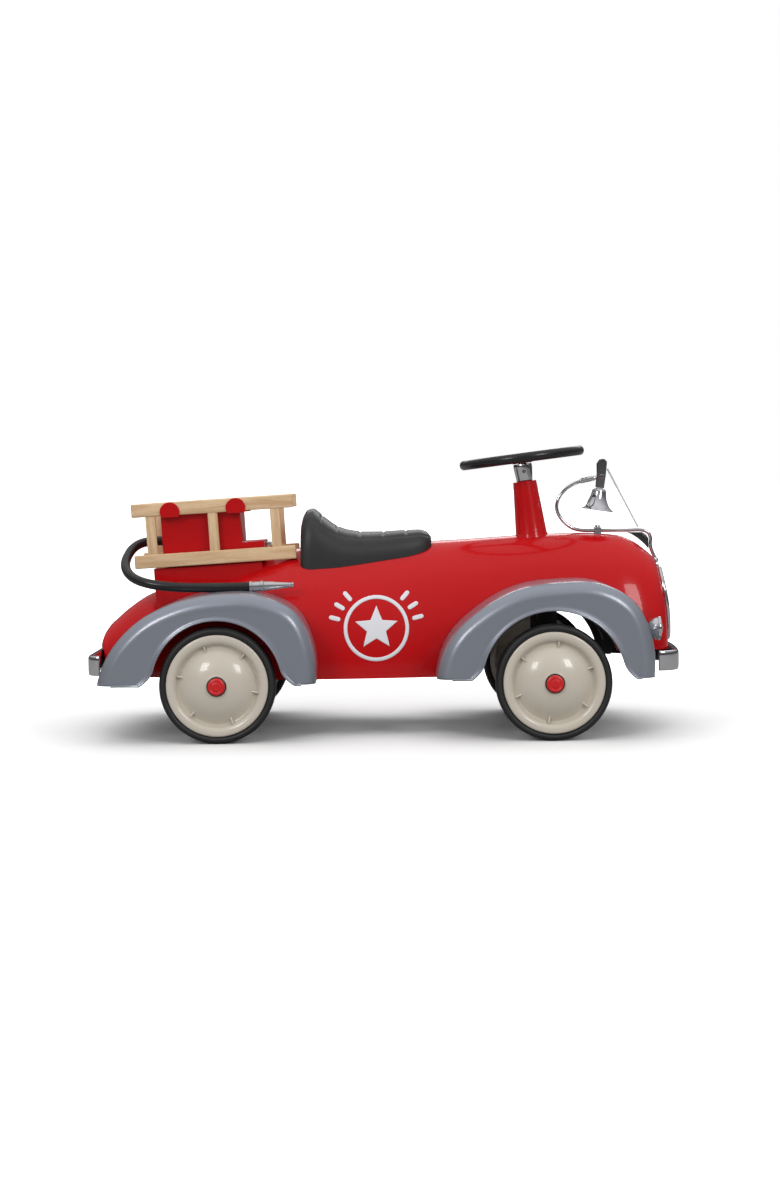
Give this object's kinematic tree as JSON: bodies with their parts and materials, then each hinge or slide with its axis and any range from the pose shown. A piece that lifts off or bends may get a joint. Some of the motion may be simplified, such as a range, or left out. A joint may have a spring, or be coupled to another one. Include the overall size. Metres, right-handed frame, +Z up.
{
  "type": "ride-on toy fire engine",
  "caption": "Child's foot-to-floor ride-on fire engine in pressed steel, with knuckle steering, disc wheels, hanging bell, lift-off ladders and a rubber hose.",
  "frame": {"origin": "on the floor, midway between the two bumper faces and on the middle plane of the car", "axes": "+X forwards, +Y to the rider's left, +Z up"},
  "size_m": [0.74, 0.3548, 0.3597],
  "materials": {
    "red_paint": "glossy red enamel on pressed steel",
    "silver_paint": "satin blue-grey metallic enamel",
    "cream_paint": "glossy cream enamel",
    "black_paint": "semi-gloss black chassis paint",
    "chrome": "bright chrome plating",
    "steel": "zinc-plated steel",
    "tyre": "dark grey moulded rubber",
    "hose_rubber": "smooth black rubber",
    "black_plastic": "fine-grained black moulding",
    "red_plastic": "glossy red moulding",
    "wood": "clear-varnished pale pine",
    "lens": "clear moulded lens",
    "cord": "braided white cord"
  },
  "bodies": {
    "root": {"body_shell": "red_paint", "floor_pan": "black_paint", "right_front_fender": "silver_paint", "left_front_fender": "silver_paint", "right_rear_fender": "silver_paint", "left_rear_fender": "silver_paint", "rear_axle": "steel", "right_axle_saddle": "black_paint", "left_axle_saddle": "black_paint", "front_axle_beam": "black_paint", "front_axle_bracket": "black_paint", "column_shroud": "red_paint", "seat": "black_plastic", "front_bumper": "chrome", "rear_bumper": "chrome", "front_bumper_mount": "black_paint", "rear_bumper_mount": "black_paint", "grille_frame": "chrome", "grille_bars": "chrome", "nose_knob": "chrome", "right_headlamp": "chrome", "left_headlamp": "chrome", "right_headlamp_lens": "lens", "left_headlamp_lens": "lens", "bell_bracket": "chrome", "bell_pin": "chrome", "rod_clamp": "chrome", "bracket_web": "steel", "bell_cord": "cord", "box_base": "red_paint", "equipment_box": "red_paint", "box_latch": "chrome", "hose": "hose_rubber", "hose_nozzle": "chrome"},
    "steering": {"steering_wheel": "black_plastic", "steering_collar": "chrome", "collar_screw": "steel", "steering_shaft": "steel"},
    "right_knuckle": {"right_knuckle": "black_paint"},
    "left_knuckle": {"left_knuckle": "black_paint"},
    "tie_rod": {"tie_rod": "steel"},
    "right_front_wheel": {"right_front_tyre": "tyre", "right_front_wheel_disc": "cream_paint", "right_front_hub_cap": "red_plastic"},
    "left_front_wheel": {"left_front_tyre": "tyre", "left_front_wheel_disc": "cream_paint", "left_front_hub_cap": "red_plastic"},
    "right_rear_wheel": {"right_rear_tyre": "tyre", "right_rear_wheel_disc": "cream_paint", "right_rear_hub_cap": "red_plastic"},
    "left_rear_wheel": {"left_rear_tyre": "tyre", "left_rear_wheel_disc": "cream_paint", "left_rear_hub_cap": "red_plastic"},
    "bell": {"bell_yoke": "chrome", "bell": "chrome"},
    "clapper": {"bell_clapper": "steel"},
    "right_ladder": {"right_ladder": "wood"},
    "left_ladder": {"left_ladder": "wood"}
  },
  "joints": [
    {"name": "steering_turn", "type": "hinge", "parent": "root", "child": "steering", "pos_m": [0.177, 0, 0.345], "axis": [-0.1219, 0, 0.9925], "range_deg": [-33, 33]},
    {"name": "right_knuckle_turn", "type": "hinge", "parent": "root", "child": "right_knuckle", "pos_m": [0.204, -0.118, 0.071], "axis": [0, 0, 1], "range_deg": [-20, 20]},
    {"name": "left_knuckle_turn", "type": "hinge", "parent": "root", "child": "left_knuckle", "pos_m": [0.204, 0.118, 0.071], "axis": [0, 0, 1], "range_deg": [-20, 20]},
    {"name": "tie_rod_swing", "type": "hinge", "parent": "right_knuckle", "child": "tie_rod", "pos_m": [0.169, -0.118, 0.082], "axis": [0, 0, 1], "range_deg": [-20, 20]},
    {"name": "right_front_wheel_spin", "type": "hinge", "parent": "right_knuckle", "child": "right_front_wheel", "pos_m": [0.204, -0.151, 0.071], "axis": [0, 1, 0], "continuous": true},
    {"name": "left_front_wheel_spin", "type": "hinge", "parent": "left_knuckle", "child": "left_front_wheel", "pos_m": [0.204, 0.151, 0.071], "axis": [0, 1, 0], "continuous": true},
    {"name": "right_rear_wheel_spin", "type": "hinge", "parent": "root", "child": "right_rear_wheel", "pos_m": [-0.205, -0.151, 0.071], "axis": [0, 1, 0], "continuous": true},
    {"name": "left_rear_wheel_spin", "type": "hinge", "parent": "root", "child": "left_rear_wheel", "pos_m": [-0.205, 0.151, 0.071], "axis": [0, 1, 0], "continuous": true},
    {"name": "bell_swing", "type": "hinge", "parent": "root", "child": "bell", "pos_m": [0.2795, 0, 0.32], "axis": [0, 1, 0], "range_deg": [-20, 20], "deforming": ["bell_cord"]},
    {"name": "clapper_swing", "type": "hinge", "parent": "bell", "child": "clapper", "pos_m": [0.2768, 0, 0.3024], "axis": [0, 1, 0], "range_deg": [-12, 12]},
    {"name": "right_ladder_lift", "type": "slide", "parent": "root", "child": "right_ladder", "axis": [-0.0576, 0, 0.9983], "range_m": [0, 0.04]},
    {"name": "left_ladder_lift", "type": "slide", "parent": "root", "child": "left_ladder", "axis": [-0.0576, 0, 0.9983], "range_m": [0, 0.04]}
  ],
  "couplings": [
    {"joint": "right_knuckle_turn", "follows": "steering_turn", "ratio": 0.6},
    {"joint": "left_knuckle_turn", "follows": "steering_turn", "ratio": 0.6},
    {"joint": "tie_rod_swing", "follows": "steering_turn", "ratio": -0.6}
  ]
}
